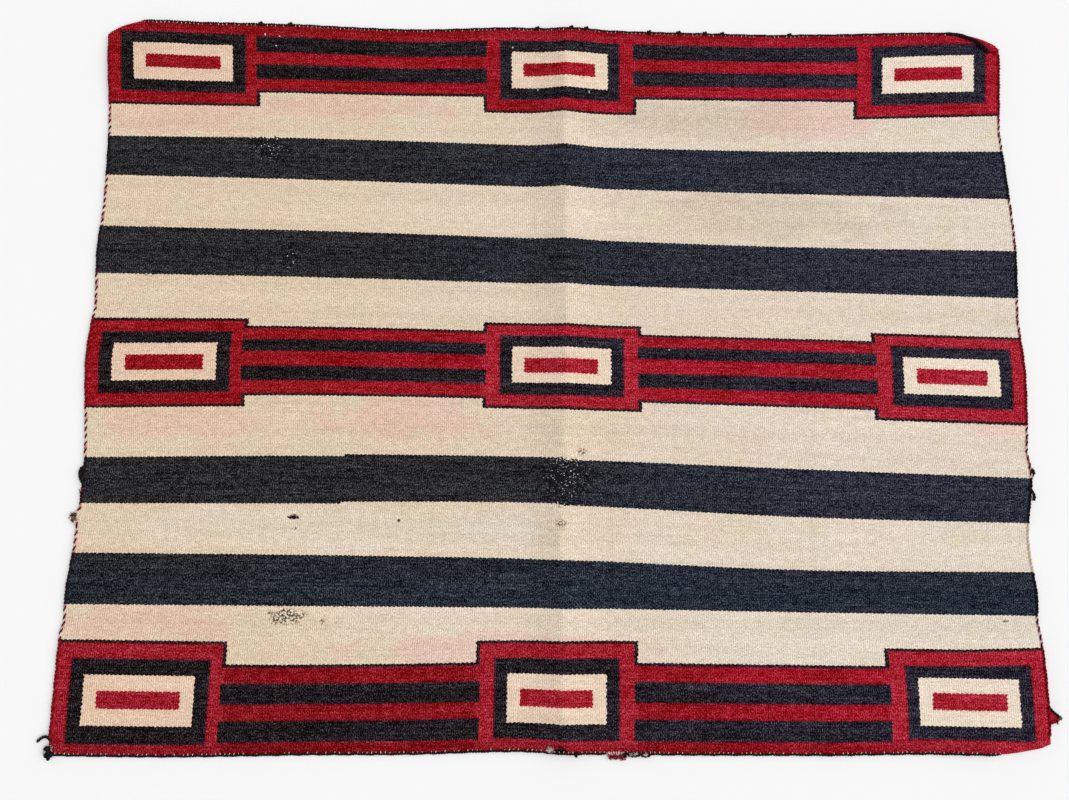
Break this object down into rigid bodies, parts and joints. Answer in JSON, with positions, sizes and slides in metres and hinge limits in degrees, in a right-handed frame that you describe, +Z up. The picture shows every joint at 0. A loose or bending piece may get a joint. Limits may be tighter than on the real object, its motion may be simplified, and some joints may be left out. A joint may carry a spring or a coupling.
{
  "type": "navajo rug",
  "caption": "Flat handwoven wool rug with stripes and nested boxes, twined edge cords, a fold ridge along its middle and turned corners, lying on the floor.",
  "frame": {"origin": "on the floor under the middle of the rug's outline", "axes": "+X along the wefts to the rug's right, +Y along the warps towards its far end, +Z up through its face"},
  "size_m": [1.8903, 1.4661, 0.0192],
  "materials": {
    "tapestry_wool": "matt weft-faced tapestry weave in cream, charcoal and crimson wool",
    "dark_cord": "matt twined charcoal wool cord",
    "selvage_cord": "matt twined charcoal and crimson wool cord"
  },
  "bodies": {
    "root": {"woven_cloth": "tapestry_wool", "end_cord_near": "dark_cord", "end_cord_far": "dark_cord", "side_cord_left": "selvage_cord", "side_cord_right": "selvage_cord", "corner_cord_far_left": "dark_cord", "corner_cord_far_right": "dark_cord", "corner_cord_near_right": "dark_cord", "corner_knot_near_left": "dark_cord"}
  },
  "joints": []
}
